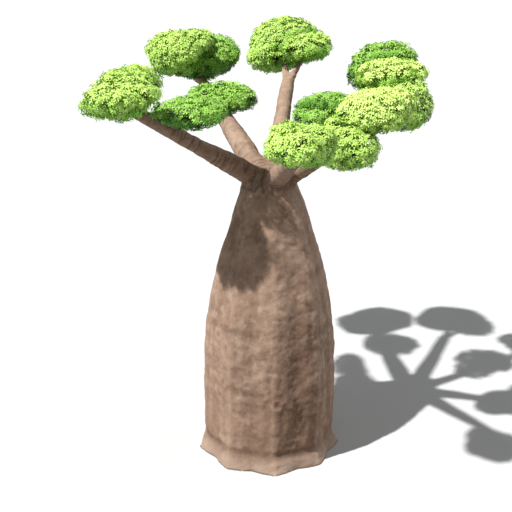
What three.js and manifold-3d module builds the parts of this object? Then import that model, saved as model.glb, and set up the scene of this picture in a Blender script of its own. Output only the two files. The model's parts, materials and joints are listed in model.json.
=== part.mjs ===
// Baobab tree: a stout bottle trunk, six main boughs with their forks, and the leaf masses they carry.
// Millimetres, +Z up. The origin is the middle of the flat cut under the trunk, at ground level.
// -Y is the front of the tree and +X its right-hand side.
import * as THREE from 'three';
import { mergeVertices } from 'three/addons/utils/BufferGeometryUtils.js';
import Module from 'manifold-3d';

const wasm = await Module();
wasm.setup();

// ---------------------------------------------------------------- driving sizes
const TRUNK_RADIUS = 1800;      // the bottle at its widest, ridge to middle
const RIDGES = 9;               // soft upright ridges round the bottle
const RIDGE_TURN = 4.6;         // degrees from the front to the first ridge
const RIDGE_DEPTH = 0.045;      // how far the hollows between ridges sink, of the radius
const TOE_DEPTH = 0.10;         // the same at the very foot, where ridges spread into root toes
const TOE_HEIGHT = 420;         // height over which the toes fade into the bottle
const TRUNK_SIDES = 36;
const TRUNK_LEAN = -70;         // how far the top stands forward of the foot
const GAP = 2;                  // clear space between neighbouring solids
const LIMB_SIDES = 9;
const LIMB_STEP = 1000;         // longest straight run along a limb
const MASS_DETAIL = 3;          // how finely a mass is divided before it is shaped
const MASS_WAVES = 5;           // broad waves that push each mass in and out
const MASS_BUMP = 0.06;         // how far each wave pushes, of the mass's own size
const MASS_SHOULDER = 2.1;      // 2 is a plain ellipsoid, more is squarer in the shoulder
const MASS_UNDERSIDE = 0.8;     // undersides are flatter than tops

// The bottle's outline: height above ground, and radius as a share of TRUNK_RADIUS.
const BOTTLE = [
  { z: 0, r: 1.10 },
  { z: 160, r: 1.045 },
  { z: 400, r: 0.99 },
  { z: 1100, r: 0.992 },
  { z: 2140, r: 1.00 },
  { z: 3000, r: 0.977 },
  { z: 3780, r: 0.935 },
  { z: 4600, r: 0.865 },
  { z: 5330, r: 0.77 },
  { z: 6100, r: 0.635 },
  { z: 6900, r: 0.50 },
  { z: 7450, r: 0.40 },
  { z: 7700, r: 0.30 },
];
const TRUNK_TOP = 7790;         // tip of the rounded crown of the bottle, between the boughs

// Each limb: where it starts and ends, its radius there, and any sag of its middle below the straight line.
// A limb starts inside what carries it and ends inside the mass it feeds; both ends are then cut flush.
const LIMBS = {
  bough_left: { from: [-110, -60, 7470], to: [-3330, -1300, 9630], thick: 325, thin: 165, sag: 5 },
  bough_rear_left: { from: [-120, 60, 7480], to: [-1395, 2520, 8920], thick: 355, thin: 240 },
  bough_rear_left_upper: { from: [-1440, 2880, 9010], to: [-2060, 4230, 9500], thick: 195, thin: 150 },
  bough_rear: { from: [60, 60, 7480], to: [520, 3130, 9430], thick: 320, thin: 200 },
  bough_rear_fork_left: { from: [500, 2980, 9330], to: [440, 3720, 10050], thick: 130, thin: 95 },
  bough_rear_fork_right: { from: [500, 2980, 9330], to: [960, 3500, 10130], thick: 135, thin: 95 },
  bough_rear_right: { from: [80, 60, 7480], to: [1480, 830, 8950], thick: 290, thin: 185, sag: 60 },
  bough_rear_right_upper: { from: [2330, 1330, 9120], to: [2960, 2250, 9700], thick: 165, thin: 115 },
  bough_right: { from: [90, -20, 7460], to: [1800, -1260, 8830], thick: 310, thin: 190, sag: 50 },
  bough_right_side: { from: [2250, -900, 8850], to: [3150, 300, 9200], thick: 150, thin: 100, sag: 60 },
  bough_front: { from: [60, -80, 7460], to: [730, -3230, 9250], thick: 310, thin: 175 },
};

// Each mass: its middle, its half sizes across, deep and high, any tip to one side in degrees, and its tint.
// The ones named first keep their whole shape; later ones are hollowed where they would run into them.
// A mass that sits over a limb is grooved by it; every other limb ends where it meets a mass.
const MASSES = {
  mass_front: { at: [590, -3950, 9405], half: [800, 950, 520], tip: -3, tint: 'mid' },
  mass_right_front: { at: [2490, -1050, 9540], half: [980, 880, 550], tint: 'yellow' },
  mass_right_low: { at: [1790, -1330, 8810], half: [800, 760, 680], tip: 5, tint: 'mid' },
  mass_left_front: { at: [-3355, -2500, 10140], half: [935, 850, 540], tip: 9, tint: 'mid' },
  mass_left_top: { at: [-3420, -750, 10050], half: [650, 1000, 420], tip: 5, tint: 'mid' },
  mass_left_rear: { at: [-3330, 700, 9960], half: [560, 900, 380], tint: 'mid' },
  mass_inner_left: {
    at: [-1910, -1350, 9565], half: [930, 840, 330], tip: -3, tint: 'dark', over: 'bough_left',
  },
  mass_rear_left_low: { at: [-1240, 2610, 9120], half: [950, 930, 400], tint: 'dark' },
  mass_rear_left_outer: { at: [-2455, 3870, 10200], half: [1035, 940, 650], tip: 10, tint: 'mid' },
  mass_rear_left_inner: { at: [-1810, 4410, 9945], half: [1020, 1040, 640], tip: 10, tint: 'dark' },
  mass_rear_knob: { at: [925, 3600, 10360], half: [880, 800, 380], tip: 5, tint: 'mid' },
  mass_rear_top: { at: [545, 4230, 10330], half: [1160, 1100, 795], tip: 2, tint: 'mid' },
  mass_right_top: { at: [3180, 1350, 10010], half: [980, 850, 340], tint: 'yellow' },
  mass_right_outer: { at: [3450, 630, 9340], half: [730, 800, 700], tip: 6, tint: 'mid' },
  mass_rear_right_top: { at: [3060, 2340, 10060], half: [1010, 880, 630], tip: 14, tint: 'dark' },
  mass_rear_right_lip: { at: [1220, 720, 8990], half: [680, 620, 250], tint: 'dark' },
  mass_rear_right_low: { at: [1640, 1350, 9120], half: [960, 870, 390], tint: 'dark' },
};

// Plain colours of the solids; the finished leaves and bark come later.
const COLOURS = {
  bark: 0xa38873,
  mid: 0x93bd4e,
  yellow: 0xb5d069,
  dark: 0x6f9f3f,
};

// ---------------------------------------------------------------- small helpers
function seeded(seed) {
  let state = seed >>> 0;
  return function next() {
    state = (state + 0x6d2b79f5) >>> 0;
    let t = state;
    t = Math.imul(t ^ (t >>> 15), t | 1);
    t ^= t + Math.imul(t ^ (t >>> 7), t | 61);
    return ((t ^ (t >>> 14)) >>> 0) / 4294967296;
  };
}

function seedOf(name) {
  let seed = 7;
  for (const letter of name) {
    seed = (seed * 31 + letter.charCodeAt(0)) >>> 0;
  }
  return seed;
}

function solidOf(positions, triangles) {
  return new wasm.Manifold(new wasm.Mesh({
    numProp: 3,
    vertProperties: Float32Array.from(positions),
    triVerts: Uint32Array.from(triangles),
  }));
}

function middleOf(ring) {
  return ring.reduce((total, point) => total.add(point), new THREE.Vector3()).divideScalar(ring.length);
}

// Rings of points, all the same length, closed at both ends by a middle point.
function solidFromRings(rings, firstMiddle, lastMiddle) {
  const sides = rings[0].length;
  const points = rings.flat();
  const triangles = [];
  for (let row = 0; row < rings.length - 1; row += 1) {
    for (let k = 0; k < sides; k += 1) {
      const a = row * sides + k;
      const b = row * sides + (k + 1) % sides;
      triangles.push(a, b, b + sides);
      triangles.push(a, b + sides, a + sides);
    }
  }
  const first = points.length;
  const last = first + 1;
  const top = (rings.length - 1) * sides;
  points.push(firstMiddle, lastMiddle);
  for (let k = 0; k < sides; k += 1) {
    const next = (k + 1) % sides;
    triangles.push(first, next, k);
    triangles.push(last, top + k, top + next);
  }
  return solidOf(points.flatMap((p) => [p.x, p.y, p.z]), triangles);
}

// ---------------------------------------------------------------- trunk
const FIRST_RIDGE = THREE.MathUtils.degToRad(RIDGE_TURN);

function trunkPoint(angle, z, share, grow) {
  const ridge = (1 - Math.cos(RIDGES * (angle - FIRST_RIDGE))) / 2;
  const toe = Math.max(0, 1 - z / TOE_HEIGHT);
  const depth = RIDGE_DEPTH + (TOE_DEPTH - RIDGE_DEPTH) * toe * toe;
  const radius = TRUNK_RADIUS * share * (1 - depth * ridge) + grow;
  const lean = TRUNK_LEAN * Math.pow(z / TRUNK_TOP, 2);
  return new THREE.Vector3(radius * Math.sin(angle), lean - radius * Math.cos(angle), z);
}

function trunkSolid(grow) {
  const rings = BOTTLE.map(({ z, r }) => {
    const ring = [];
    for (let k = 0; k < TRUNK_SIDES; k += 1) {
      ring.push(trunkPoint(FIRST_RIDGE + (2 * Math.PI * k) / TRUNK_SIDES, z, r, grow));
    }
    return ring;
  });
  const foot = new THREE.Vector3(0, 0, 0);
  const top = new THREE.Vector3(0, TRUNK_LEAN, TRUNK_TOP + grow);
  return solidFromRings(rings, foot, top);
}

// ---------------------------------------------------------------- limbs
// A tapering limb along a gently curved line, a little uneven in girth, never quite round.
function limbSolid(name, limb, grow) {
  const random = seeded(seedOf(name));
  const start = new THREE.Vector3(...limb.from);
  const end = new THREE.Vector3(...limb.to);
  const length = start.distanceTo(end);
  const stations = Math.max(3, Math.round(length / LIMB_STEP) + 1);
  const along = end.clone().sub(start).normalize();
  const side = new THREE.Vector3(0, 0, 1).cross(along).normalize();
  const over = along.clone().cross(side);
  const wobble = Array.from({ length: stations }, () => random() - 0.5);
  const twist = random() * Math.PI;
  const rings = [];
  for (let s = 0; s < stations; s += 1) {
    const t = s / (stations - 1);
    const middle = start.clone().lerp(end, t);
    middle.z -= (limb.sag ?? 0) * 4 * t * (1 - t);
    const inner = s > 0 && s < stations - 1;
    middle.addScaledVector(side, inner ? wobble[s] * 0.22 * limb.thin : 0);
    middle.addScaledVector(along, (s === 0 ? -grow : 0) + (s === stations - 1 ? grow : 0));
    const radius = THREE.MathUtils.lerp(limb.thick, limb.thin, Math.pow(t, 0.85));
    const ring = [];
    for (let k = 0; k < LIMB_SIDES; k += 1) {
      const angle = (2 * Math.PI * k) / LIMB_SIDES;
      const uneven = 1 + 0.05 * Math.cos(3 * angle + twist) + 0.03 * Math.cos(2 * angle - twist + t * 4);
      const reach = radius * uneven + grow;
      ring.push(middle.clone()
        .addScaledVector(side, reach * Math.cos(angle))
        .addScaledVector(over, reach * Math.sin(angle)));
    }
    rings.push(ring);
  }
  return solidFromRings(rings, middleOf(rings[0]), middleOf(rings[stations - 1]));
}

// ---------------------------------------------------------------- masses
// An uneven cushion of foliage: a divided ball pushed in and out by a few broad seeded waves,
// square-shouldered and flatter beneath than on top, then brought to its named half sizes.
function massShape(name) {
  const random = seeded(seedOf(name));
  const waves = Array.from({ length: MASS_WAVES }, () => ({
    way: new THREE.Vector3(random() - 0.5, random() - 0.5, random() - 0.5).normalize(),
    rate: 2.4 + 3.2 * random(),
    start: random() * Math.PI * 2,
  }));
  const turn = random() * Math.PI;
  const upright = new THREE.Vector3(0, 0, 1);
  const ball = new THREE.IcosahedronGeometry(1, MASS_DETAIL);
  ball.deleteAttribute('normal');
  ball.deleteAttribute('uv');
  const shape = mergeVertices(ball, 1e-4);
  const place = shape.getAttribute('position');
  const point = new THREE.Vector3();
  for (let i = 0; i < place.count; i += 1) {
    point.fromBufferAttribute(place, i).applyAxisAngle(upright, turn).normalize();
    const bump = waves
      .map((wave) => Math.cos(wave.rate * point.dot(wave.way) + wave.start))
      .reduce((total, push) => total + push, 0);
    const spread = Math.abs(point.x) ** MASS_SHOULDER + Math.abs(point.y) ** MASS_SHOULDER
      + Math.abs(point.z) ** MASS_SHOULDER;
    point.multiplyScalar((1 + MASS_BUMP * bump) * spread ** (-1 / MASS_SHOULDER));
    if (point.z < 0) {
      point.z *= MASS_UNDERSIDE;
    }
    place.setXYZ(i, point.x, point.y, point.z);
  }
  shape.computeBoundingBox();
  const box = shape.boundingBox;
  const middle = box.getCenter(new THREE.Vector3());
  const size = box.getSize(new THREE.Vector3());
  shape.translate(-middle.x, -middle.y, -middle.z);
  shape.scale(2 / size.x, 2 / size.y, 2 / size.z);
  return shape;
}

function massSolid(name, mass, grow) {
  const shape = massShape(name);
  shape.scale(mass.half[0] + grow, mass.half[1] + grow, mass.half[2] + grow);
  shape.rotateY(-THREE.MathUtils.degToRad(mass.tip ?? 0));
  shape.translate(...mass.at);
  return solidOf(shape.getAttribute('position').array, shape.index.array);
}

// ---------------------------------------------------------------- assembly
// A mesh whose own zero is at the given place: the foot of the trunk, a limb's start or a mass's middle.
function nodeOf(name, solid, at, colour, roughness) {
  if (solid.decompose().length !== 1) {
    throw new Error(`${name} is not one piece`);
  }
  const faces = solid.getMesh();
  const geometry = new THREE.BufferGeometry();
  geometry.setAttribute('position', new THREE.BufferAttribute(Float32Array.from(faces.vertProperties), 3));
  geometry.setIndex(new THREE.BufferAttribute(Uint32Array.from(faces.triVerts), 1));
  geometry.translate(-at[0], -at[1], -at[2]);
  geometry.computeVertexNormals();
  const material = new THREE.MeshStandardMaterial({ color: colour, roughness, metalness: 0 });
  const mesh = new THREE.Mesh(geometry, material);
  mesh.name = name;
  mesh.position.set(...at);
  return mesh;
}

function cutAll(solid, cutters) {
  return cutters.reduce((left, cutter) => left.subtract(cutter), solid);
}

// Later masses give way to earlier ones, and a mass that sits over a limb gives way to that limb.
function buildMasses() {
  const group = new THREE.Group();
  const cutters = [];
  for (const [name, mass] of Object.entries(MASSES)) {
    const groove = mass.over ? [limbSolid(mass.over, LIMBS[mass.over], GAP)] : [];
    const solid = cutAll(massSolid(name, mass, 0), cutters.concat(groove));
    group.add(nodeOf(name, solid, mass.at, COLOURS[mass.tint], 0.85));
    cutters.push(massSolid(name, mass, GAP));
  }
  return group;
}

// Limbs give way to the trunk, to the limbs before them and to every mass that does not sit over them.
function buildLimbs() {
  const group = new THREE.Group();
  const cutters = [trunkSolid(GAP)];
  for (const [name, limb] of Object.entries(LIMBS)) {
    const met = Object.entries(MASSES).filter(([, mass]) => mass.over !== name);
    const ends = met.map(([key, mass]) => massSolid(key, mass, GAP));
    const solid = cutAll(limbSolid(name, limb, 0), cutters.concat(ends));
    group.add(nodeOf(name, solid, limb.from, COLOURS.bark, 0.9));
    cutters.push(limbSolid(name, limb, GAP));
  }
  return group;
}

const tree = new THREE.Group();
tree.add(nodeOf('trunk', trunkSolid(0), [0, 0, 0], COLOURS.bark, 0.9));
tree.add(buildLimbs());
tree.add(buildMasses());

export default tree;
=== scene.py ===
# %% [markdown]
# # A bottle-trunked baobab
# A baobab stores water in a swollen trunk. Its skin is smooth and stretched, with shallow ridges, girdles
# and folds, and its few boughs stay bare until they break up into cushions of hand-shaped leaves. The
# solids of the frame give the trunk, the boughs and the outline of each leaf mass. This script grows the
# living surface on them: one bark skin, branches and twigs that fork towards the leaves, and the leaves in
# their sprays.

import json
import math

import bmesh
import bpy
import numpy as np
from mathutils import Matrix, Vector, noise
from mathutils.bvhtree import BVHTree

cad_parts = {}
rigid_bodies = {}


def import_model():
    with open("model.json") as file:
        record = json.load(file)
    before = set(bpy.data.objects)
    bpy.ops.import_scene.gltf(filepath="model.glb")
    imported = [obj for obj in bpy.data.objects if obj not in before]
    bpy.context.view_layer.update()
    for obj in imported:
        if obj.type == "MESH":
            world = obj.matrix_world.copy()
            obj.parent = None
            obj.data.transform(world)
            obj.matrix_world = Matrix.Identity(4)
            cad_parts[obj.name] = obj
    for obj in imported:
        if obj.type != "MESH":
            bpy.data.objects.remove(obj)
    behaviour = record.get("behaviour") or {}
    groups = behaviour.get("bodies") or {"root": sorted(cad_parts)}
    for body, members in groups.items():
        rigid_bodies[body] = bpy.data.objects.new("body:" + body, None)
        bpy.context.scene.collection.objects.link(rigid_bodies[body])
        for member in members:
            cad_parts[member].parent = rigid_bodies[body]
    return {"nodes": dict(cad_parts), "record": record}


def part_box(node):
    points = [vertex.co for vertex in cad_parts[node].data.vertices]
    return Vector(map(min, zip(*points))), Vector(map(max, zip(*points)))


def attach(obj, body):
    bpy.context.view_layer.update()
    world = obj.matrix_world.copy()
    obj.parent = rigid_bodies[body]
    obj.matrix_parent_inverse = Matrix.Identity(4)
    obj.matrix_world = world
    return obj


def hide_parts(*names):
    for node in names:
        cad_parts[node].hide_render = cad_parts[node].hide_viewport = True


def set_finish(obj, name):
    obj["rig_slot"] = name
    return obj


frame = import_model()
scene = bpy.context.scene
cad_nodes = frame["nodes"]
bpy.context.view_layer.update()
slot_of = {part["node"]: part["material_slot"] for part in frame["record"]["subparts"]}
limb_names = sorted(name for name in cad_nodes if name.startswith("bough"))
mass_names = sorted(name for name in cad_nodes if name.startswith("mass"))

# %% [markdown]
# ## Light, floor and camera
# The tree is seen from a little over two of its own heights away, from above, at twenty degrees. One sun
# from the front left draws the crown's shadow to the back right. An even white sky and a weak, wide lamp from
# the back right fill the shaded sides. The floor is plain and pale and runs on until it meets the white sky,
# so that nothing competes with the tree.

# %% Colours and helpers
def linear(code):
    """An sRGB hex colour as linear red, green, blue and alpha."""
    values = [int(code[i:i + 2], 16) / 255 for i in (1, 3, 5)]
    return [v / 12.92 if v <= 0.04045 else ((v + 0.055) / 1.055) ** 2.4 for v in values] + [1.0]


def put(tree, kind, inputs=None, **settings):
    """Adds one node; an input is either a value or the socket that feeds it."""
    node = tree.nodes.new(kind)
    for key, value in settings.items():
        setattr(node, key, value)
    for socket, value in (inputs or {}).items():
        if isinstance(value, bpy.types.NodeSocket):
            tree.links.new(value, node.inputs[socket])
        else:
            node.inputs[socket].default_value = value
    return node


def in_scene(name, data):
    """An object for a mesh, a lamp or a camera, linked to the scene."""
    made = bpy.data.objects.new(name, data)
    scene.collection.objects.link(made)
    return made


def plain_finish(name, code, roughness, specular):
    """A material of one colour, and its shader."""
    material = bpy.data.materials.new(name)
    material.use_nodes = True
    shader = material.node_tree.nodes["Principled BSDF"]
    shader.inputs["Base Color"].default_value = linear(code)
    shader.inputs["Roughness"].default_value = roughness
    shader.inputs["Specular IOR Level"].default_value = specular
    return material, shader


# %% Sky and sun
SKY_STRENGTH = 0.33  # the sky as a lamp
SKY_SEEN = 1.0  # the sky as seen past the floor's far edge, white like the floor
SUN_STRENGTH = 8.1
SUN_ANGLE = math.radians(1.2)
SHADOW_STEP = Vector((0.606, 0.381, -1.0))  # how the light travels for each metre it falls
FILL_STRENGTH = 1.5
FILL_ANGLE = math.radians(25)  # a wide lamp, so that its shadows are too soft to see
FILL_STEP = Vector((-1.0, -0.30, -0.38))
FILL_COLOUR = (0.92, 0.96, 1.0)
LAMP_AWAY = 10  # a sun's place doesn't matter, only its direction does

scene.view_settings.view_transform = "Standard"
sky = bpy.data.worlds.new("white_sky")
sky.use_nodes = True
backdrop = sky.node_tree.nodes["Background"]
backdrop.inputs["Color"].default_value = (1.0, 1.0, 1.0, 1.0)
seen = put(sky.node_tree, "ShaderNodeLightPath").outputs["Is Camera Ray"]
glow = put(sky.node_tree, "ShaderNodeMapRange", {"Value": seen, "To Min": SKY_STRENGTH, "To Max": SKY_SEEN})
sky.node_tree.links.new(glow.outputs["Result"], backdrop.inputs["Strength"])
scene.world = sky

for name, strength, angle, step in (("sun", SUN_STRENGTH, SUN_ANGLE, SHADOW_STEP),
                                    ("fill", FILL_STRENGTH, FILL_ANGLE, FILL_STEP)):
    lamp = bpy.data.lights.new(name, "SUN")
    lamp.energy = strength
    lamp.angle = angle
    light = in_scene(name, lamp)
    light.rotation_euler = step.to_track_quat("-Z", "Y").to_euler()
    light.location = -LAMP_AWAY * step
bpy.data.lights["fill"].color = FILL_COLOUR
print(f"light: sun {SUN_STRENGTH}, fill {FILL_STRENGTH}, sky {SKY_STRENGTH}")

# %% Floor
FLOOR_HALF = 4000.0  # metres, so far that the floor meets the sky where both are white

floor_mesh = bpy.data.meshes.new("floor")
corners = [(FLOOR_HALF * x, FLOOR_HALF * y, 0.0) for x, y in ((-1, -1), (1, -1), (1, 1), (-1, 1))]
floor_mesh.from_pydata(corners, [], [(0, 1, 2, 3)])
floor = in_scene("floor", floor_mesh)
floor_paint, _ = plain_finish("matt_white_studio_floor", "#ADADAD", roughness=0.95, specular=0.0)
floor_mesh.materials.append(floor_paint)
print(f"floor: {2 * FLOOR_HALF:.0f} m across")

# %% Camera
CAMERA_DISTANCE = 25.07
CAMERA_HEIGHT_ANGLE = math.radians(20.3)
CAMERA_AIM = Vector((-0.353, 0.0, 5.465))
FIELD_OF_VIEW = math.radians(30)
SENSOR = 36  # millimetres
SEEN_TO = 10000  # metres

camera_data = bpy.data.cameras.new("camera")
camera_data.sensor_width = SENSOR
camera_data.lens = 0.5 * SENSOR / math.tan(FIELD_OF_VIEW / 2)
camera_data.clip_end = SEEN_TO
camera = in_scene("camera", camera_data)
back = Vector((0, -math.cos(CAMERA_HEIGHT_ANGLE), math.sin(CAMERA_HEIGHT_ANGLE)))
camera.location = CAMERA_AIM + CAMERA_DISTANCE * back
camera.rotation_euler = (-back).to_track_quat("-Z", "Y").to_euler()
scene.camera = camera
print(f"camera {CAMERA_DISTANCE} m away, {math.degrees(CAMERA_HEIGHT_ANGLE):.1f} degrees up")

# %% [markdown]
# ## Reading the limbs
# The branches have to leave each bough exactly where it points. A limb's solid doesn't store its middle
# line, but planes across it do: the middle of each cut is a point of the line, and the cut's size is the
# girth there.

# %% Middle line of a limb
FORK = np.array([0.0, 0.0, 7.5])
CUT_STRETCH = (0.25, 0.75)  # shares of a limb's length between which it is cut
LINE_CUTS = 7
LINE_POINTS = 9


def mesh_arrays(mesh):
    """A mesh's points and its edges as arrays."""
    points = np.zeros(len(mesh.vertices) * 3)
    mesh.vertices.foreach_get("co", points)
    edges = np.zeros(len(mesh.edges) * 2, int)
    mesh.edges.foreach_get("vertices", edges)
    return points.reshape(-1, 3), edges.reshape(-1, 2)


def middle_line(name):
    """Points and radii along a limb, from the fork outwards, cut flush with its two ends."""
    points, edges = mesh_arrays(cad_nodes[name].data)
    middle = (points.min(0) + points.max(0)) / 2
    along = np.linalg.svd(points - middle, full_matrices=False)[2][0]
    if (middle - FORK) @ along < 0:
        along = -along
    travel = (points - middle) @ along
    low, high = travel.min(), travel.max()
    a, b = points[edges[:, 0]], points[edges[:, 1]]
    ta, tb = travel[edges[:, 0]], travel[edges[:, 1]]
    shares, centres, radii = np.linspace(*CUT_STRETCH, LINE_CUTS), [], []
    for share in shares:
        level = low + (high - low) * share
        crossing = (ta - level) * (tb - level) < 0
        part = ((level - ta) / np.where(crossing, tb - ta, 1.0))[:, None]
        cut = (a + part * (b - a))[crossing]
        centre = (cut.min(0) + cut.max(0)) / 2
        centres.append(centre)
        radii.append(np.median(np.linalg.norm(cut - centre, axis=1)))
    steps = np.linspace(0, 1, LINE_POINTS)
    bends = np.polyfit(shares, np.array(centres), 2)
    line = bends[0] * steps[:, None] ** 2 + bends[1] * steps[:, None] + bends[2]
    slope, thick = np.polyfit(shares, radii, 1)
    return line, thick + min(slope, 0.0) * steps


def unit(vector):
    return vector / max(np.linalg.norm(vector), 1e-9)


limb_lines = {name: middle_line(name) for name in limb_names}
for name, (line, radii) in limb_lines.items():
    print(f"{name}: {np.linalg.norm(line[-1] - line[0]):.2f} m, radius {radii[0]:.2f} to {radii[-1]:.2f}")

# %% [markdown]
# ## The bark skin
# The trunk and boughs of a living tree are one skin, so the solids of the frame are melted together. A
# voxel remesh does that: it fills whatever is inside any of the solids and wraps one even net round it. The
# short stretches of limb that pass through a leaf mass, and the ends that run on into the leaves, are added
# first as tapering tubes. The net is then relaxed, most where limbs meet, so that they grow out of each
# other.

# %% Tubes
TUBE_SIDES = 12


def tube(line, radii, sides=TUBE_SIDES):
    """Points and faces of a closed tube along a line."""
    points, faces = [], []
    side = unit(np.cross([0.0, 0.0, 1.0], line[-1] - line[0]) + 1e-6)
    for k, (centre, radius) in enumerate(zip(line, radii)):
        ahead = unit(line[min(k + 1, len(line) - 1)] - line[max(k - 1, 0)])
        side = unit(side - ahead * (side @ ahead))
        over = np.cross(ahead, side)
        for s in range(sides):
            angle = 2 * math.pi * s / sides
            points.append(centre + radius * (math.cos(angle) * side + math.sin(angle) * over))
    for k in range(len(line) - 1):
        for s in range(sides):
            a, b = k * sides + s, k * sides + (s + 1) % sides
            faces.append((a, b, b + sides, a + sides))
    top = (len(line) - 1) * sides
    faces.append(tuple(reversed(range(sides))))
    faces.append(tuple(range(top, top + sides)))
    return points, faces


# %% Joining stretches and limb ends
RUN_ON = 0.50  # most metres a bough runs on inside the leaves before it forks
RUN_STEPS = 5
JOIN_STEPS = 7
JOIN_PULL = 0.35  # share of the gap over which a joining stretch keeps each limb's own line
JOIN_SWELL = 1.25  # most that a joining stretch may start thicker than it ends
SUNK = 0.97  # girth of a tube's hidden end, just under the limb's own surface
SUNK_DEEP = 0.8
CARRIED_BY = {  # further lengths of a limb, and the limb each one goes on from
    "bough_rear_left_upper": "bough_rear_left",
    "bough_rear_right_upper": "bough_rear_right",
    "bough_right_side": "bough_right",
    "bough_rear_fork_left": "bough_rear",
    "bough_rear_fork_right": "bough_rear",
}
STILL_RUN_ON = ("bough_rear_left", "bough_rear_right", "bough_right")  # though a limb goes on from each


def joining_stretch(name):
    """The hidden length between a limb and the one it goes on from, bent to leave both in their own line."""
    line, radii = limb_lines[name]
    parent_line, parent_radii = limb_lines[CARRIED_BY[name]]
    start, end = parent_line[-1], line[0]
    gap = np.linalg.norm(end - start)
    pull = JOIN_PULL * gap
    a = start + pull * unit(parent_line[-1] - parent_line[-2])
    b = end - pull * unit(line[1] - line[0])
    steps = np.linspace(0, 1, JOIN_STEPS)[:, None]
    curve = (1 - steps) ** 3 * start + 3 * (1 - steps) ** 2 * steps * a + 3 * (1 - steps) * steps ** 2 * b
    curve = curve + steps ** 3 * end
    girth = np.linspace(min(parent_radii[-1], radii[0] * JOIN_SWELL), radii[0], JOIN_STEPS)
    return (np.vstack([parent_line[-2], curve, line[1]]),
            np.concatenate([[parent_radii[-2] * SUNK_DEEP], girth, [radii[1] * SUNK]]))


def run_on_stretch(name):
    """The end of a limb inside the leaves: it bends towards the middle of the nearest mass and thins."""
    line, radii = limb_lines[name]
    ahead = unit(line[-1] - line[-2])
    middles = [np.mean([list(corner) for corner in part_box(mass)], axis=0) for mass in mass_names]
    goal = min(middles, key=lambda middle: np.linalg.norm(middle - line[-1]))
    length = min(RUN_ON, 0.8 * np.linalg.norm(goal - line[-1]))
    steps = np.linspace(0, 1, RUN_STEPS)[:, None]
    knee = line[-1] + 0.5 * length * ahead
    end = line[-1] + length * unit(0.5 * ahead + unit(goal - line[-1]))
    curve = (1 - steps) ** 2 * line[-1] + 2 * (1 - steps) * steps * knee + steps ** 2 * end
    girth = radii[-1] * (1 - 0.5 * steps[:, 0])
    return np.vstack([line[-2], curve]), np.concatenate([[radii[-2] * SUNK], girth])


# %% Laying the solids and tubes together
skin = bmesh.new()
for name in ["trunk"] + limb_names:
    skin.from_mesh(cad_nodes[name].data)
bmesh.ops.remove_doubles(skin, verts=skin.verts, dist=1e-5)
growing_ends = {}
for name in limb_names:
    stretches = [joining_stretch(name)] if name in CARRIED_BY else []
    if name not in CARRIED_BY.values() or name in STILL_RUN_ON:
        stretches.append(run_on_stretch(name))
        growing_ends[name] = stretches[-1]
    for line, radii in stretches:
        points, faces = tube(line, radii)
        made = [skin.verts.new(p) for p in points]
        for face in faces:
            skin.faces.new([made[i] for i in face])
skin_mesh = bpy.data.meshes.new("bark_rough")
skin.to_mesh(skin_mesh)
skin.free()
print(f"bark: {len(skin_mesh.polygons)} faces before the remesh")

# %% One even net
VOXEL = 0.0405

rough = in_scene("bark_rough", skin_mesh)
remesh = rough.modifiers.new("one skin", "REMESH")
remesh.mode = "VOXEL"
remesh.voxel_size = VOXEL
bark_mesh = bpy.data.meshes.new_from_object(rough.evaluated_get(bpy.context.evaluated_depsgraph_get()))
bpy.data.objects.remove(rough)
bark_mesh.name = "bark"
print(f"bark: {2 * len(bark_mesh.polygons)} triangles after the remesh")

# %% Relaxing the net
RELAX_ROUNDS = 14
FORK_REACH = 1.1  # metres round the fork that are relaxed the most
FORK_TOP = FORK + [0, 0, 0.25]
FOOTING = 0.3  # metres above the ground over which the relaxing sets in


def relax(points, edges, weight, rounds):
    """Moves each point towards the middle of its neighbours, again and again."""
    count = np.bincount(edges.ravel(), minlength=len(points))[:, None]
    for _ in range(rounds):
        total = np.zeros_like(points)
        for axis in range(3):
            total[:, axis] += np.bincount(edges[:, 0], points[edges[:, 1], axis], len(points))
            total[:, axis] += np.bincount(edges[:, 1], points[edges[:, 0], axis], len(points))
        points = points + weight[:, None] * (total / np.maximum(count, 1) - points)
    return points


bark_points, bark_edges = mesh_arrays(bark_mesh)
near_fork = np.clip(1 - np.linalg.norm(bark_points - FORK_TOP, axis=1) / FORK_REACH, 0, 1)
grounded = np.clip(bark_points[:, 2] / FOOTING, 0, 1)
bark_points = relax(bark_points, bark_edges, 0.5 * grounded, RELAX_ROUNDS)
bark_points = relax(bark_points, bark_edges, 0.6 * near_fork ** 0.5, 2 * RELAX_ROUNDS)

# %% [markdown]
# ## Ribs of the trunk
# The relaxing has also softened the ribs that run up the trunk, so their crests are drawn out again: each
# point moves away from where its neighbourhood's average lies.

# %% Crests of the ribs
CREST_ROUNDS = 60
CREST_GAIN = 1.5
RIBS_END = (6.6, 7.4)  # heights between which the ribs fade out
RIBS_START = (0.05, 0.55)  # and between which they fade in
SOFTEN = 0.6  # share of the way to its neighbours' middle that a point goes in each round


def rise(values, low, high):
    """Nought below low, one above high, and even in between."""
    return np.clip((values - low) / (high - low), 0, 1)


def normals_of(mesh, points):
    mesh.vertices.foreach_set("co", points.ravel())
    mesh.update()
    values = np.zeros(len(points) * 3)
    mesh.vertices.foreach_get("normal", values)
    return values.reshape(-1, 3)


bark_normals = normals_of(bark_mesh, bark_points)
averaged = relax(bark_points, bark_edges, np.full(len(bark_points), SOFTEN), CREST_ROUNDS)
standing = np.einsum("ij,ij->i", bark_points - averaged, bark_normals)
on_trunk = 1 - rise(bark_points[:, 2], *RIBS_END)
on_trunk *= rise(bark_points[:, 2], *RIBS_START)
bark_points = bark_points + bark_normals * (CREST_GAIN * standing * on_trunk)[:, None]
print(f"ribs: {standing[on_trunk > 0.9].min() * 1000:.0f} to {standing[on_trunk > 0.9].max() * 1000:.0f} mm")

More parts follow.
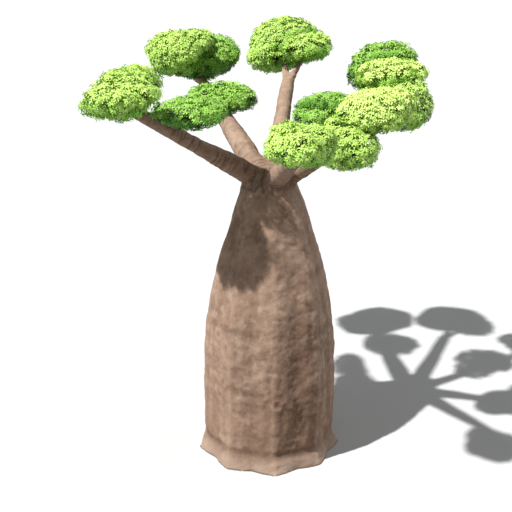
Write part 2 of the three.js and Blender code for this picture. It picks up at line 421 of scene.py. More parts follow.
# %% [markdown]
# ## Relief of the bark
# A baobab's skin is stretched like a wineskin: broad soft swellings, small knobs, a few level girdles where
# growth paused, worn creases that run round the bottle, round scars of lost twigs, and deep folds and
# ring-like wrinkles where the boughs leave it. All of it is pushed into the net along its normals. How deep a
# point lies in a fold, and how far it is turned from the sun or faces the ground, are kept as attributes
# for the painted shade in the bark's colour.

# %% Relief
GIRDLES = (0.40, 2.14, 3.78, 5.33)  # heights of the level girdles
GIRDLE_DEPTH = 0.020
SWELLING = 0.045
CREASE_DEPTH = 0.020
SCAR_SPACING = 0.8  # metres between the round scars of lost twigs, of which only some are left
SCAR_RIM = 0.014
SCAR_EYE = 0.018
KNOBS = 0.013
RING_SPACING = 0.16  # metres from one wrinkle round a limb to the next
RING_DEPTH = 0.020
GIRDLE_HALF = 0.13  # metres from a girdle's middle to its edge
SCAR_RADIUS = 0.13
SCAR_RIM_WIDTH = 0.055
SCAR_EYE_WIDTH = 0.08
LIMBS_START = (7.4, 7.9)  # heights between which trunk skin turns to limb skin
LIMB_CALM = 0.35  # how much weaker the relief is on a limb
SETS_IN = 0.12  # metres above the ground over which the relief sets in
FLAT_UNDER = 0.6 * VOXEL  # points lower than this are set down on the ground
CREASE_SHARE = 0.55  # of a full fold, that a crease of full depth counts as
HOLLOW_ROUNDS = 25
HOLLOW_FULL = 0.03  # metres of hollow that count as a full fold
SLIVER = 0.001  # metres: points nearer than this, where faces are squeezed at the ground, are merged
PAINTED_SHADE_SIDE = np.array([0.45, -0.75, -0.50])  # the way the side that is given painted shade faces, turned from the sun


def between(low, high, value):
    """Nought below low, one above high, and smooth in between."""
    share = min(max((value - low) / (high - low), 0.0), 1.0)
    return share * share * (3 - 2 * share)


def relief(point):
    """How far the skin stands out at a point, and how far it is sunk in a crease, both in metres."""
    x, y, z = point
    swelling = noise.fractal(Vector((x, y, z * 0.75)) * 0.9, 0.9, 2.1, 4)
    drift = 0.22 * noise.noise(Vector((x, y, 3.0)) * 0.8)
    girdle = sum(math.exp(-((z - level - drift) / GIRDLE_HALF) ** 2) for level in GIRDLES)
    girdle *= 0.3 + 0.7 * between(-0.25, 0.25, noise.noise(Vector((x, y, z * 0.3)) * 0.9 + Vector((5, 0, 0))))
    bend = 0.30 * noise.noise(Vector((x, y, z)) * 1.1 + Vector((0, 9, 0)))
    way = Vector((x * 1.5, y * 1.5, (z + bend) * 3.4))
    crease = between(1.35, 2.3, noise.ridged_multi_fractal(way, 0.8, 2.2, 4, 1.0, 2.0))
    worn = between(-0.25, 0.35, noise.noise(Vector((x, y, z * 0.8)) * 0.75 + Vector((0, 0, 4))))
    joint = between(6.2, 7.6, z) * (1 - between(8.2, 9.0, z))
    crease *= 0.25 + 0.75 * max(worn, 1.5 * joint)
    knobs = noise.fractal(Vector((x, y, z * 1.3)) * 4.0 + Vector((2, 0, 0)), 0.8, 2.0, 3)
    distances, centres = noise.voronoi(Vector((x, y, z)) / SCAR_SPACING)
    apart = distances[0] * SCAR_SPACING
    left = between(-0.05, 0.10, noise.noise(centres[0] * 3.7))
    rim = SCAR_RIM * left * math.exp(-((apart - SCAR_RADIUS) / SCAR_RIM_WIDTH) ** 2)
    eye = SCAR_EYE * left * math.exp(-(apart / SCAR_EYE_WIDTH) ** 2)
    sunk = CREASE_DEPTH * crease + GIRDLE_DEPTH * girdle + eye
    return SWELLING * swelling + KNOBS * knobs + rim - sunk, sunk


# %% Wrinkles round the limbs
def rings(points):
    """How deep the wrinkles round a limb are at each point, in metres: deepest where it leaves the trunk."""
    nearest = np.full(len(points), np.inf)
    along = np.zeros(len(points))
    for name in limb_names:
        line, _ = limb_lines[name]
        reached = 0.0
        for start, end in zip(line[:-1], line[1:]):
            way = end - start
            share = np.clip((points - start) @ way / (way @ way), 0, 1)
            gap = np.linalg.norm(points - start - share[:, None] * way, axis=1)
            closer = gap < nearest
            nearest[closer] = gap[closer]
            along[closer] = reached + share[closer] * np.linalg.norm(way)
            reached += np.linalg.norm(way)
    depths = []
    for (x, y, z), reach in zip(points, along):
        wander = Vector((reach / RING_SPACING, 0.9 * x, 0.9 * (y + z)))
        wrinkle = between(0.62, 0.95, 1 - 2.2 * abs(noise.noise(wander)))
        worn = between(-0.3, 0.3, noise.noise(Vector((x, y, z)) * 0.9 + Vector((0, 6, 0))))
        depths.append(RING_DEPTH * wrinkle * (0.3 + 0.7 * max(worn, 1 - between(0.3, 1.4, reach))))
    return np.array(depths)


# %% Pushing the relief into the net
bark_normals = normals_of(bark_mesh, bark_points)
heights = np.array([relief(p) for p in bark_points])
limb_part = rise(bark_points[:, 2], *LIMBS_START)
on_limbs = np.flatnonzero(limb_part > 0)
ring_depths = rings(bark_points[on_limbs])
heights[on_limbs, 0] -= ring_depths
heights[on_limbs, 1] += ring_depths
strength = (1 - LIMB_CALM * limb_part) * np.clip(bark_points[:, 2] / SETS_IN, 0, 1)
bark_points = bark_points + bark_normals * (heights[:, 0] * strength)[:, None]
bark_points[:, 2] = np.where(bark_points[:, 2] < FLAT_UNDER, 0.0, bark_points[:, 2])
bark_normals = normals_of(bark_mesh, bark_points)
evened = relax(bark_points, bark_edges, np.full(len(bark_points), SOFTEN), HOLLOW_ROUNDS)
hollow = np.einsum("ij,ij->i", evened - bark_points, bark_normals)
fold_depth = np.clip(heights[:, 1] / CREASE_DEPTH * CREASE_SHARE + hollow / HOLLOW_FULL, -1, 1)
# painted shade: bark turned from the sun (on limbs sooner) and bark facing the ground is darkened
sun_away = np.clip((bark_normals @ unit(PAINTED_SHADE_SIDE) - 0.6 + 0.4 * limb_part) / 0.35, 0, 1)
beneath = np.clip(-bark_normals[:, 2] / 0.5, 0, 1)
for title, values in (("fold_depth", fold_depth), ("painted_shade", np.maximum(sun_away, beneath))):
    kept = bark_mesh.attributes.new(title, "FLOAT", "POINT")
    kept.data.foreach_set("value", values.astype(np.float32))
welding = bmesh.new()
welding.from_mesh(bark_mesh)
bmesh.ops.remove_doubles(welding, verts=welding.verts, dist=SLIVER)
welding.to_mesh(bark_mesh)
welding.free()
bark_mesh.shade_smooth()
bark_mesh.update()
print(f"bark: relief from {heights[:, 0].min() * 1000:.0f} to {heights[:, 0].max() * 1000:.0f} mm")

# %% [markdown]
# ## Bark colour and finish
# Baobab bark is thin and pinkish grey-brown, with paler stretched skin where it has flaked, browner
# patches, dark streaks where rain runs down, and level wrinkles. It is dry and matt. One way is to paint a
# picture of it, but a picture would blur up close and show a seam. Here each of these is a noise of its own
# real size, and they are laid over each other in turn. Painted shade darkens the wrinkles, the folds, the
# side turned from the sun and the undersides, and the skin is paler where it stands out. The wrinkles and
# the fine skin, a few millimetres deep, are also bump.

# %% Colour of the bark
PATCH = 0.90  # metres across a patch of colour
FLAKE = 0.30  # metres across a place where the outer skin has flaked off
STREAK = 0.18  # metres between the dark streaks that rain leaves
WRINKLE = 0.42  # metres along a level wrinkle, a fifth of that from one to the next
FLECK = 0.07  # metres across the smallest pale flecks
SKIN_GRAIN = 0.045  # metres between the fine cracks of the skin
SKIN_DEPTH = 0.022  # metres of depth that the bump shows, deeper than real so that it shows from afar
BROWNER_BELOW = 3.60  # metres above the ground below which the trunk turns browner towards the bottom
FOOT = 0.50  # metres above the ground below which the trunk turns paler towards the ground


def bark_colour(tree, place, wrinkles):
    """Patches of two tones, with everything else that colours the bark, painted shade too, laid over them in
    turn.
    """
    patches = put(tree, "ShaderNodeTexNoise", {
        "Vector": place, "Scale": 1 / PATCH, "Detail": 5.0, "Roughness": 0.62})
    tones = put(tree, "ShaderNodeValToRGB", {"Fac": patches.outputs["Fac"]})
    for stop, position, code in zip(tones.color_ramp.elements, (0.30, 0.70), ("#6E5748", "#8F7664")):
        stop.position = position
        stop.color = linear(code)
    flakes = put(tree, "ShaderNodeTexNoise", {
        "Vector": place, "Scale": 1 / FLAKE, "Detail": 6.0, "Roughness": 0.55})
    drawn_out = put(tree, "ShaderNodeMapping", {"Vector": place, "Scale": (1.0, 1.0, 0.13)})
    streaks = put(tree, "ShaderNodeTexNoise", {
        "Vector": drawn_out.outputs["Vector"], "Scale": 1 / STREAK, "Detail": 6.0, "Roughness": 0.65})
    flecks = put(tree, "ShaderNodeTexNoise", {
        "Vector": place, "Scale": 1 / FLECK, "Detail": 5.0, "Roughness": 0.75})
    fold = put(tree, "ShaderNodeAttribute", attribute_name="fold_depth")
    painted_shade = put(tree, "ShaderNodeAttribute", attribute_name="painted_shade")
    height = put(tree, "ShaderNodeSeparateXYZ", {"Vector": place})
    colour = tones.outputs["Color"]
    for value, none, all_of_it, most, code in (
            (flakes.outputs["Fac"], 0.50, 0.62, 0.45, "#9C8876"),
            # painted shade on the side turned from the sun and underneath
            (painted_shade.outputs["Fac"], 0.0, 1.0, 0.76, "#513320"),
            (streaks.outputs["Fac"], 0.48, 0.75, 0.55, "#5C4838"),
            # painted shade in the wrinkles: darker where the bump sinks them
            (wrinkles, 0.55, 1.30, 0.45, "#553F30"),
            # painted shade darkens the folds and creases; the next line makes the skin paler where it stands
            # out
            (fold.outputs["Fac"], 0.0, 1.0, 0.60, "#4C3A2C"),
            (fold.outputs["Fac"], 0.0, -0.8, 0.40, "#A08A76"),
            (flecks.outputs["Fac"], 0.53, 0.72, 0.40, "#A89381"),
            (height.outputs["Z"], BROWNER_BELOW, FOOT, 0.24, "#6C4F3C"),
            (height.outputs["Z"], FOOT, 0.0, 0.50, "#A08E7E")):
        share = put(tree, "ShaderNodeMapRange", {
            "Value": value, "From Min": none, "From Max": all_of_it, "To Max": most})
        over = put(tree, "ShaderNodeMix", {
            "Factor": share.outputs["Result"], "A": colour, "B": linear(code)}, data_type="RGBA")
        colour = over.outputs["Result"]
    return colour


# %% Bump and gloss of the bark
def bark_finish():
    """Dry, thin, stretched bark: matt, with no gloss to the eye."""
    material, shader = plain_finish("stretched_baobab_bark", "#7F6756", roughness=0.87, specular=0.25)
    tree = material.node_tree
    place = put(tree, "ShaderNodeTexCoord").outputs["Object"]
    level = put(tree, "ShaderNodeMapping", {"Vector": place, "Scale": (1.0, 1.0, 5.0)})
    wrinkles = put(tree, "ShaderNodeTexNoise", {
        "Vector": level.outputs["Vector"], "Scale": 1 / WRINKLE, "Detail": 3.0, "Roughness": 0.5},
        noise_type="RIDGED_MULTIFRACTAL")
    colour = bark_colour(tree, place, wrinkles.outputs["Fac"])
    tree.links.new(colour, shader.inputs["Base Color"])

    squeeze = put(tree, "ShaderNodeMapping", {"Vector": place, "Scale": (1.0, 1.0, 1.9)})
    cracks = put(tree, "ShaderNodeTexVoronoi", {
        "Vector": squeeze.outputs["Vector"], "Scale": 1 / SKIN_GRAIN}, feature="DISTANCE_TO_EDGE")
    crack_share = put(tree, "ShaderNodeMapRange", {"Value": cracks.outputs["Distance"], "From Max": 0.12})
    grain = put(tree, "ShaderNodeTexNoise", {
        "Vector": place, "Scale": 1 / SKIN_GRAIN, "Detail": 6.0, "Roughness": 0.72})
    cracked = put(tree, "ShaderNodeMath", {
        0: crack_share.outputs["Result"], 1: 0.22, 2: grain.outputs["Fac"]}, operation="MULTIPLY_ADD")
    wrinkle_share = put(tree, "ShaderNodeMapRange", {
        "Value": wrinkles.outputs["Fac"], "From Min": 0.4, "From Max": 1.3})
    wrinkled = put(tree, "ShaderNodeMath", {
        0: wrinkle_share.outputs["Result"], 1: -0.5, 2: cracked.outputs["Value"]}, operation="MULTIPLY_ADD")
    bump = put(tree, "ShaderNodeBump", {
        "Height": wrinkled.outputs["Value"], "Strength": 0.9, "Distance": SKIN_DEPTH})
    tree.links.new(bump.outputs["Normal"], shader.inputs["Normal"])
    dry = put(tree, "ShaderNodeMapRange", {
        "Value": grain.outputs["Fac"], "From Min": 0.3, "From Max": 0.7, "To Min": 0.78, "To Max": 0.95})
    tree.links.new(dry.outputs["Result"], shader.inputs["Roughness"])
    return material


# %% Bark piece
bark_skin = bark_finish()
bark_mesh.materials.clear()
bark_mesh.materials.append(bark_skin)
bark = in_scene("bark", bark_mesh)
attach(bark, "root")
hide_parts("trunk", *limb_names)
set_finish(bark, "bark")
print(f"bark: {len(bark_skin.node_tree.nodes)} nodes in its finish")

# %% [markdown]
# ## Where the leaves go
# Baobab leaves sit in tufts at the ends of short twigs, near the light. So each mass is covered by sprays
# set just inside its surface, evenly but not in rows, and a thinner second layer deeper in closes the view
# through. Points are thrown at the surface at random, and one that lands too near another is dropped.

# %% Spray places
SEED = 11
SPRAY_SPACING = 0.110  # metres between neighbouring sprays in the outer layer
OUTER_DEPTH = (0.15, 0.20)  # metres that a spray's foot lies inside the surface
INNER_DEPTH = (0.28, 0.38)
INNER_SPACING = 0.24
COVER = 0.16  # metres of a neighbouring mass over a spot that hide it
THROWS = 5  # points thrown for each place there is room for
ODD_WAY = Vector((0.13, 0.07, 1.0)).normalized()  # the way of a ray that runs along no face

mass_shapes, mass_boxes = {}, {}
for name in mass_names:
    mesh = cad_nodes[name].data
    mass_shapes[name] = BVHTree.FromPolygons(
        [v.co.copy() for v in mesh.vertices], [p.vertices[:] for p in mesh.polygons])
    mass_boxes[name] = np.array([list(corner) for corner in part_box(name)])


def inside(name, point, margin=0.0):
    """Whether a point lies inside a mass, at least that far from its surface."""
    low, high = mass_boxes[name]
    if (point < low).any() or (point > high).any():
        return False
    crossings, start = 0, Vector(point)
    while True:
        hit = mass_shapes[name].ray_cast(start, ODD_WAY)[0]
        if hit is None:
            break
        crossings += 1
        start = hit + 1e-4 * ODD_WAY
    if crossings % 2 == 0:
        return False
    return margin == 0 or mass_shapes[name].find_nearest(Vector(point))[3] >= margin


# %% Throwing points at a mass
def throw_points(name, spacing, depth, chance):
    """Evenly scattered places just inside a mass: (place, way out) pairs."""
    mesh = cad_nodes[name].data
    points, _ = mesh_arrays(mesh)
    corners = np.array([p.vertices[:3] for p in mesh.polygons])
    a, b, c = points[corners[:, 0]], points[corners[:, 1]], points[corners[:, 2]]
    cross = np.cross(b - a, c - a)
    areas = np.linalg.norm(cross, axis=1) / 2
    normals = cross / np.maximum(2 * areas[:, None], 1e-12)
    centre = (points.min(0) + points.max(0)) / 2
    half = (points.max(0) - points.min(0)) / 2
    throws = int(areas.sum() / spacing ** 2 * THROWS)
    picks = chance.choice(len(areas), throws, p=areas / areas.sum())
    u, v = chance.random(throws), chance.random(throws)
    over = u + v > 1
    u[over], v[over] = 1 - u[over], 1 - v[over]
    spots = a[picks] + u[:, None] * (b - a)[picks] + v[:, None] * (c - a)[picks]
    kept, taken = [], {}
    for spot, normal in zip(spots, normals[picks]):
        swell = unit((spot - centre) / half ** 2)
        out = unit(normal + swell)
        place = spot - out * chance.uniform(*depth)
        cell = tuple(np.floor(place / spacing).astype(int))
        near = [taken.get((cell[0] + i, cell[1] + j, cell[2] + k))
                for i in (-1, 0, 1) for j in (-1, 0, 1) for k in (-1, 0, 1)]
        near = [other for group in near if group for other in group]
        if any(np.linalg.norm(place - other) < spacing for other in near):
            continue
        if not inside(name, place, 0.5 * depth[0]):
            continue
        if any(inside(other, spot, COVER) for other in mass_names if other != name):
            continue
        taken.setdefault(cell, []).append(place)
        kept.append((place, out))
    return kept


# %% Places for every mass
chance = np.random.default_rng(SEED)
sprays = []
for name in mass_names:
    outer = throw_points(name, SPRAY_SPACING, OUTER_DEPTH, chance)
    inner = throw_points(name, INNER_SPACING, INNER_DEPTH, chance)
    sprays += [dict(mass=name, place=p, out=o, layer="outer") for p, o in outer]
    sprays += [dict(mass=name, place=p, out=o, layer="inner") for p, o in inner]
    print(f"{name}: {len(outer)} outer sprays, {len(inner)} inner")
print(f"{len(sprays)} sprays in all")

# %% [markdown]
# ## The branching rule
# From the end of each bough the wood forks again and again until every spray has its twig. At each fork the
# sprays still to be fed are split in two groups by where they lie, and a branch sets off for the middle of
# each group, bending away from the line it came by. Its girth follows the old rule of pipes: the
# cross-section of a branch is about the sum of what it carries.

# %% Branching
TWIG_RADIUS = 0.0065
PIPE_POWER = 2.35
FIRST_SHARE = 0.45  # how far a branch goes towards its group before it forks again
BEND = 0.5  # how much of its old direction a branch keeps
WANDER = 0.035  # how far a branch strays from its curve, as a share of its length
SPLIT_ROUNDS = 6
TWIG_TAPER = 0.6
THINNING = 0.96  # most that a branch may be of the one it forks from
FIRST_THINNING = 0.85  # most that a mass's first branch may be of its limb


def girth(carried, limit):
    return min(TWIG_RADIUS * carried ** (1 / PIPE_POWER), limit)


def split(group, start, chance):
    """Splits spray numbers into two groups by their direction from a fork."""
    ways = np.array([unit(sprays[i]["place"] - start) for i in group])
    first, second = chance.choice(len(group), 2, replace=False)
    middles = np.array([ways[first], ways[second]])
    for _ in range(SPLIT_ROUNDS):
        nearer = np.argmax(ways @ middles.T, axis=1)
        if nearer.min() == nearer.max():
            nearer = np.arange(len(group)) % 2
            break
        middles = np.array([unit(ways[nearer == k].mean(0)) for k in (0, 1)])
    return [[i for i, k in zip(group, nearer) if k == side] for side in (0, 1)]


def bent_line(start, ahead, end, steps, chance):
    """A curve that leaves start along ahead and wanders a little on its way to end."""
    length = np.linalg.norm(end - start)
    knee = start + unit(ahead) * length * BEND
    shares = np.linspace(0, 1, steps + 1)[:, None]
    line = (1 - shares) ** 2 * start + 2 * (1 - shares) * shares * knee + shares ** 2 * end
    line[1:-1] += chance.normal(0, WANDER * length, (steps - 1, 3))
    return line


def grow(start, ahead, group, limit, branches, chance):
    """Adds (points, radii) of every branch from start to the sprays of a group."""
    radius = girth(len(group), limit)
    if len(group) == 1:
        spray = sprays[group[0]]
        line = bent_line(start, ahead, spray["place"], 3, chance)
        branches.append((line, np.linspace(radius, TWIG_TAPER * radius, len(line))))
        return
    middle = np.mean([sprays[i]["place"] for i in group], axis=0)
    fork = start + (middle - start) * FIRST_SHARE
    steps = 4 if radius > 0.02 else 3
    line = bent_line(start, ahead, fork, steps, chance)
    halves = split(group, fork, chance)
    thick = girth(max(len(half) for half in halves), limit)
    branches.append((line, np.linspace(radius, 0.5 * (radius + thick), len(line))))
    for half in halves:
        grow(fork, unit(line[-1] - line[-2]), half, THINNING * radius, branches, chance)


# %% Growing every mass
feeding_lines = dict(limb_lines)
for name, (line, radii) in growing_ends.items():
    feeding_lines[name] = (np.vstack([limb_lines[name][0][:-1], line[1:]]),
                           np.concatenate([limb_lines[name][1][:-1], radii[1:]]))


def nearest_wood(name):
    """The best place on a limb for a mass to grow from: (point, direction, radius, limb)."""
    members = [spray["place"] for spray in sprays if spray["mass"] == name]
    middle = np.mean(members, axis=0)
    best = None
    for limb, (line, radii) in feeding_lines.items():
        for k in range(2, len(line)):
            distance = np.linalg.norm(line[k] - middle)
            if best is None or distance < best[0]:
                best = (distance, line[k], unit(line[k] - line[k - 1]), radii[k], limb)
    return best[1:]


branches = []
for name in mass_names:
    start, ahead, radius, limb = nearest_wood(name)
    group = [i for i, spray in enumerate(sprays) if spray["mass"] == name]
    grow(start, ahead, group, FIRST_THINNING * radius, branches, chance)
    print(f"{name}: grows from {limb}, {len(group)} twigs")
print(f"{len(branches)} branches")

# %% [markdown]
# ## Branches and twigs as wood
# Each branch is a line with a radius at every point. Geometry Nodes turns all the lines into tapering tubes
# at once: the lines become curves, and a ring is swept along them, scaled at each point by the radius
# there. Thick branches get a rounder ring than twigs, which are only about a centimetre across.

# %% Lines to wood
def line_object(name, lines):
    """One mesh of open lines with a radius at every point."""
    points = np.vstack([line for line, _ in lines])
    radii = np.concatenate([radii for _, radii in lines])
    edges, first = [], 0
    for line, _ in lines:
        edges += [(first + k, first + k + 1) for k in range(len(line) - 1)]
        first += len(line)
    mesh = bpy.data.meshes.new(name)
    mesh.from_pydata(points.tolist(), edges, [])
    attribute = mesh.attributes.new("girth", "FLOAT", "POINT")
    attribute.data.foreach_set("value", radii.astype(np.float32))
    return in_scene(name, mesh)


def triangle_count(mesh):
    return sum(len(polygon.vertices) - 2 for polygon in mesh.polygons)


# %% Node trees that make geometry
def new_tree(name, inputs):
    """A Geometry Nodes tree with named inputs: the tree, its inputs' sockets and their identifiers."""
    tree = bpy.data.node_groups.new(name, "GeometryNodeTree")
    tree.interface.new_socket("Geometry", in_out="OUTPUT", socket_type="NodeSocketGeometry")
    keys = {}
    for title, kind in inputs.items():
        made = tree.interface.new_socket(title, in_out="INPUT", socket_type="NodeSocket" + kind)
        keys[title] = made.identifier
    return tree, put(tree, "NodeGroupInput").outputs, keys


def end_tree(tree, shape, finish):
    """Makes every instance real geometry, gives it the finish, and ends the tree."""
    real = put(tree, "GeometryNodeRealizeInstances", {"Geometry": shape}).outputs["Geometry"]
    painted = put(tree, "GeometryNodeSetMaterial", {"Geometry": real, "Material": finish})
    put(tree, "NodeGroupOutput", {"Geometry": painted.outputs["Geometry"]})


def wood_tree():
    """Geometry Nodes: lines in, tapering tubes out."""
    tree, given, keys = new_tree(
        "wood along lines", {"Lines": "Geometry", "Sides": "Int", "Finish": "Material"})
    girths = put(tree, "GeometryNodeInputNamedAttribute", {"Name": "girth"}, data_type="FLOAT")
    curves = put(tree, "GeometryNodeMeshToCurve", {"Mesh": given["Lines"]})
    ring = put(tree, "GeometryNodeCurvePrimitiveCircle", {"Resolution": given["Sides"], "Radius": 1.0})
    swept = put(tree, "GeometryNodeCurveToMesh", {
        "Curve": curves.outputs["Curve"], "Profile Curve": ring.outputs["Curve"],
        "Scale": girths.outputs["Attribute"], "Fill Caps": True})
    end_tree(tree, swept.outputs["Mesh"], given["Finish"])
    return tree, keys


def grown(source, name, nodes, keys, finish, **values):
    """Runs a tree on an object and puts what it makes in its place, as a plain mesh object of one finish."""
    growth = source.modifiers.new("growth", "NODES")
    growth.node_group = nodes
    for title, value in {**values, "Finish": finish}.items():
        growth[keys[title]] = value
    depsgraph = bpy.context.evaluated_depsgraph_get()
    mesh = bpy.data.meshes.new_from_object(source.evaluated_get(depsgraph))
    mesh.name = name
    mesh.materials.clear()  # the instances leave an empty slot before the one that is set
    mesh.materials.append(finish)
    bpy.data.objects.remove(source)
    return in_scene(name, mesh)


# %% Bark of the young wood
# Young bark is smooth and dull, faintly mottled where it has begun to stretch.
MOTTLE = 1 / 9  # metres across a mottle

young_bark, young_shader = plain_finish("young_smooth_bark", "#715E50", roughness=0.8, specular=0.5)
young_tree = young_bark.node_tree
young_place = put(young_tree, "ShaderNodeTexCoord").outputs["Object"]
young_noise = put(young_tree, "ShaderNodeTexNoise", {
    "Vector": young_place, "Scale": 1 / MOTTLE, "Detail": 4.0})
young_tones = put(young_tree, "ShaderNodeValToRGB", {"Fac": young_noise.outputs["Fac"]})
for stop, position, code in zip(young_tones.color_ramp.elements, (0.35, 0.65), ("#5E4C3E", "#84705F")):
    stop.position = position
    stop.color = linear(code)
young_tree.links.new(young_tones.outputs["Color"], young_shader.inputs["Base Color"])
young_bump = put(young_tree, "ShaderNodeBump", {
    "Height": young_noise.outputs["Fac"], "Strength": 0.4, "Distance": 0.006})
young_tree.links.new(young_bump.outputs["Normal"], young_shader.inputs["Normal"])

# Twigs are thinner than any mottle on them, so theirs is one plain brown, dull like the bark they grow from.
twig_bark, _ = plain_finish("plain_twig_bark", "#715E50", roughness=0.8, specular=0.5)

# %% Sweeping the wood
# Each kind of wood: its thinnest and thickest start in metres, the sides of its ring, and its bark.
GIRTHS = {
    "branches": (0.020, 9.0, 8, young_bark),
    "shoots": (0.0095, 0.020, 5, twig_bark),
    "twigs": (0.0, 0.0095, 3, twig_bark),
}
MOST_TRIANGLES = 195000  # in one piece

wood_nodes, wood_keys = wood_tree()
for kind, (thinnest, thickest, sides, wood_bark) in GIRTHS.items():
    lines = [branch for branch in branches if thinnest <= branch[1][0] < thickest]
    per_line = 2 * sides * (max(len(line) for line, _ in lines) - 1) + 2 * (sides - 2)
    parts = math.ceil(per_line * len(lines) / MOST_TRIANGLES)
    for part in range(parts):
        name = f"{kind}_{part + 1}"
        source = line_object(name + "_lines", lines[part::parts])
        piece = grown(source, name, wood_nodes, wood_keys, wood_bark, Sides=sides)
        piece.data.shade_smooth()
        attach(piece, "root")
        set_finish(piece, "bark")
        print(f"{name}: {len(lines[part::parts])} lines, {triangle_count(piece.data)} triangles")

# %% [markdown]
# ## Leaves
# A baobab leaf is a hand: five leaflets spread from one point at the end of a stalk, each widest past its
# middle, folded a little along the midrib and drooping at the tip. Eight leaves make a spray, in a rosette
# that opens outwards. A handful of different sprays is enough, because each one is turned, sized and tinted
# anew.

# %% One leaf
LEAFLETS = 5
LEAFLET_LENGTH = 0.108
LEAFLET_WIDTH = 0.047
SPREAD = math.radians(220)  # from the first leaflet to the last
FOLD_DEPTH = 0.006
DROOP = 0.022
LEAFLET_FOOT = 0.004


def leaflet(length, width, angle, lift):
    """Five points and four faces of a leaflet that leaves the origin at an angle, in the leaf's own plane."""
    across = np.array([-math.sin(angle), math.cos(angle), 0.0])
    ahead = np.array([math.cos(angle), math.sin(angle), 0.0])
    foot = LEAFLET_FOOT * ahead
    middle = 0.55 * length * ahead + np.array([0, 0, lift - FOLD_DEPTH])
    left = 0.58 * length * ahead + 0.5 * width * across + np.array([0, 0, lift])
    right = 0.58 * length * ahead - 0.5 * width * across + np.array([0, 0, lift])
    tip = length * ahead + np.array([0, 0, lift - DROOP])
    return [foot, right, tip, left, middle], [(0, 1, 4), (1, 2, 4), (2, 3, 4), (3, 0, 4)]


def leaf(chance):
    """A hand of leaflets, the middle one longest."""
    points, faces = [], []
    for k in range(LEAFLETS):
        turn = (k - (LEAFLETS - 1) / 2) / (LEAFLETS - 1)
        size = (1 - 0.35 * abs(turn) ** 1.5 * 2) * chance.uniform(0.92, 1.08)
        new_points, new_faces = leaflet(
            LEAFLET_LENGTH * size, LEAFLET_WIDTH * size, SPREAD * turn + chance.normal(0, 0.06),
            chance.uniform(-0.004, 0.012))
        faces += [tuple(i + len(points) for i in face) for face in new_faces]
        points += new_points
    return np.array(points), faces


# %% Sprays
SPRAY_KINDS = 8
LEAVES_IN_SPRAY = 8
STALK = 0.065  # metres from the shoot to where the leaflets meet
TURN_ON = math.radians(137.5)  # from one leaf round the shoot to the next, as in many plants
LOWEST_LEAN = math.radians(62)
LEAN_LOST = math.radians(44)  # how much less the top leaf leans than the lowest
BLADE_LIFT = math.radians(35)  # how far a blade is raised from its stalk's lean


def spray_mesh(kind, chance):
    """A rosette of leaves about an upward shoot: the outer leaves lean out, the inner ones lie across it."""
    points, faces = [], []
    for k in range(LEAVES_IN_SPRAY):
        ring = k / (LEAVES_IN_SPRAY - 1)
        around = k * TURN_ON + chance.normal(0, 0.15)
        lean = LOWEST_LEAN - LEAN_LOST * ring + chance.normal(0, 0.14)
        height = 0.02 + 0.10 * ring + chance.normal(0, 0.01)
        leaf_points, leaf_faces = leaf(chance)
        tilt = Matrix.Rotation(around, 3, "Z") @ Matrix.Rotation(-lean + BLADE_LIFT, 3, "Y")
        sideways = math.sin(lean)
        stalk = STALK * np.array([math.cos(around) * sideways, math.sin(around) * sideways, math.cos(lean)])
        foot = stalk + np.array([0, 0, height])
        roll = Matrix.Rotation(chance.normal(0, 0.25), 3, "X")
        placed = leaf_points @ np.array(tilt @ roll).T + foot
        faces += [tuple(i + len(points) for i in face) for face in leaf_faces]
        points += placed.tolist()
    mesh = bpy.data.meshes.new(f"spray_{kind}")
    mesh.from_pydata(points, [], faces)
    return mesh


spray_shelf = bpy.data.collections.new("sprays")
scene.collection.children.link(spray_shelf)
for kind in range(SPRAY_KINDS):
    spray_shelf.objects.link(bpy.data.objects.new(f"spray_{kind}", spray_mesh(kind, chance)))
spray_faces = len(spray_shelf.objects[0].data.polygons)
print(f"a spray: {LEAVES_IN_SPRAY} leaves, {spray_faces} triangles")

# %% [markdown]
# ## Leaf colours
# Each mass keeps its own tint: fresh green, young yellow-green, or an older dark green. Inside a mass the
# sprays are dealt painted light and shade: those towards the sun are painted paler, and those beneath, inside
# and where masses meet are painted darker, so every tint has four shades, and each spray is dealt one of
# them.
# A pattern on each leaf would be finer than anyone sees, and it would smear where thousands of leaves share
# one piece, so the variety comes from the dealing, and each shade is one plain colour.

# %% Leaf materials
# each tint in four plain copies, from painted sunlight (pale) to painted shade (under)
PAINTED_SHADES = {
    "leaf_mid": {"pale": "#A4C45C", "full": "#96BB52", "deep": "#87B148", "under": "#6C9E36"},
    "leaf_yellow": {"pale": "#BAD471", "full": "#AFCF66", "deep": "#9ABE51", "under": "#81AB40"},
    "leaf_dark": {"pale": "#81AC46", "full": "#719E39", "deep": "#568528", "under": "#44701F"},
}
LEAF_GLOSS = {"pale": 0.50, "full": 0.54, "deep": 0.60, "under": 0.66}  # roughness: sunned leaves are waxier
LEAF_SPECULAR = 0.3  # a thin green blade with a broad, weak gloss from its wax

# %% Dealing the sprays
def deal_tree():
    """Geometry Nodes: a point for each spray in, all their leaves out."""
    tree, given, keys = new_tree(
        "leaves on points", {"Points": "Geometry", "Sprays": "Collection", "Finish": "Material"})
    kinds = put(tree, "GeometryNodeCollectionInfo", {
        "Collection": given["Sprays"], "Separate Children": True, "Reset Children": True})
    facing, size, kind = [
        put(tree, "GeometryNodeInputNamedAttribute", {"Name": title}, data_type=form).outputs["Attribute"]
        for title, form in (("facing", "FLOAT_VECTOR"), ("size", "FLOAT"), ("kind", "INT"))]
    turn = put(tree, "FunctionNodeEulerToRotation", {"Euler": facing})
    dealt = put(tree, "GeometryNodeInstanceOnPoints", {
        "Points": given["Points"], "Instance": kinds.outputs["Instances"], "Pick Instance": True,
        "Instance Index": kind, "Rotation": turn.outputs["Rotation"], "Scale": size})
    end_tree(tree, dealt.outputs["Instances"], given["Finish"])
    return tree, keys


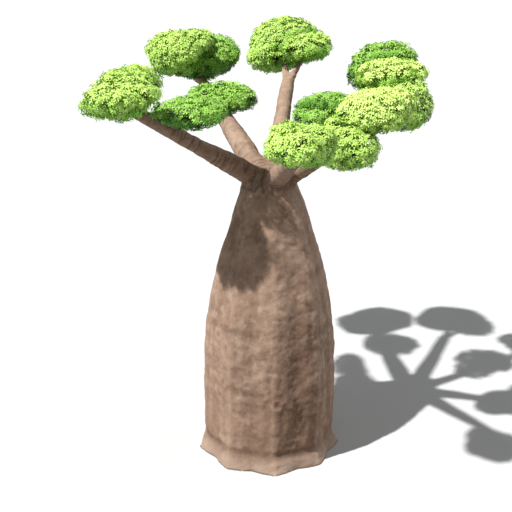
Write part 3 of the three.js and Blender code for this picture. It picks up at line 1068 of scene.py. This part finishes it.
# %% Points that carry the sprays
FULL_TURN = 6.283  # radians
LIGHT_PULL = 0.75  # how much a spray turns up to the light, against straight out
WAY_WANDER = 0.16  # how far it turns off its way by chance
SPRAY_SIZES = (0.86, 1.14)


def spray_points(name, members, chance):
    """A mesh of bare points with each spray's facing, size and kind."""
    mesh = bpy.data.meshes.new(name)
    mesh.from_pydata([spray["place"].tolist() for spray in members], [], [])
    facing, size, kind = [], [], []
    for spray in members:
        way = unit(spray["out"] + LIGHT_PULL * np.array([0, 0, 1.0]) + chance.normal(0, WAY_WANDER, 3))
        spin = Matrix.Rotation(chance.uniform(0, FULL_TURN), 3, "Z")
        turn = Vector(way).to_track_quat("Z", "Y").to_matrix() @ spin
        facing += list(turn.to_euler())
        size.append(chance.uniform(*SPRAY_SIZES))
        kind.append(int(chance.integers(SPRAY_KINDS)))
    for title, form, field, values in (("facing", "FLOAT_VECTOR", "vector", facing),
                                       ("size", "FLOAT", "value", size), ("kind", "INT", "value", kind)):
        mesh.attributes.new(title, form, "POINT").data.foreach_set(field, values)
    return in_scene(name, mesh)


# %% The painted shade a spray is dealt
SUN_SIDE = np.array([-0.3, -0.45, 1.0])  # roughly towards the sun; sprays facing it are painted paler, as painted sunlight
SEAM = 0.20  # metres from a neighbouring mass within which a spray is painted darker, as painted shade
SEAM_SHADE = 0.7
SUN_SHARE = 1.1
INNER_SHADE = 0.8
SHADE_CHANCE = 0.20
LEAST_LIGHT = {"pale": 0.40, "full": -0.42, "deep": -0.80}


def painted_shade_of(spray, chance):
    """Painted light and shade: pale towards the sun, deep beneath, inside and between masses, with some of
    each everywhere.
    """
    # how much painted light a spray gets: more facing the sun, less in the inner layer and near another mass
    light = SUN_SHARE * spray["out"] @ unit(SUN_SIDE)
    light = light + (0.0 if spray["layer"] == "outer" else -INNER_SHADE) + chance.normal(0, SHADE_CHANCE)
    others = [mass_shapes[name] for name in mass_names if name != spray["mass"]]
    gap = min(shape.find_nearest(Vector(spray["place"]))[3] for shape in others)
    light -= SEAM_SHADE * max(0.0, 1 - gap / SEAM)
    for shade, least in LEAST_LIGHT.items():
        if light > least:
            return shade
    return "under"


# %% Leaves of every mass
deal_nodes, deal_keys = deal_tree()
for spray in sprays:
    spray["shade"] = painted_shade_of(spray, chance)
for slot_name, shades in PAINTED_SHADES.items():
    for shade, code in shades.items():
        members = [s for s in sprays if slot_of[s["mass"]] == slot_name and s["shade"] == shade]
        most = MOST_TRIANGLES // spray_faces
        tint = slot_name.replace("leaf_", "")
        # one material for each painted shade of a tint
        finish, _ = plain_finish(f"{tint}_green_leaf_painted_{shade}", code, LEAF_GLOSS[shade], LEAF_SPECULAR)
        for part in range(math.ceil(len(members) / most)):
            name = f"leaves_{tint}_{shade}_{part + 1}"
            source = spray_points(name + "_points", members[part * most:(part + 1) * most], chance)
            piece = grown(source, name, deal_nodes, deal_keys, finish, Sprays=spray_shelf)
            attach(piece, "root")
            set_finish(piece, slot_name)
            print(f"{name}: {len(piece.data.polygons)} triangles")

for spray_object in list(spray_shelf.objects):
    bpy.data.objects.remove(spray_object)
bpy.data.collections.remove(spray_shelf)
for name in mass_names:
    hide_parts(name)
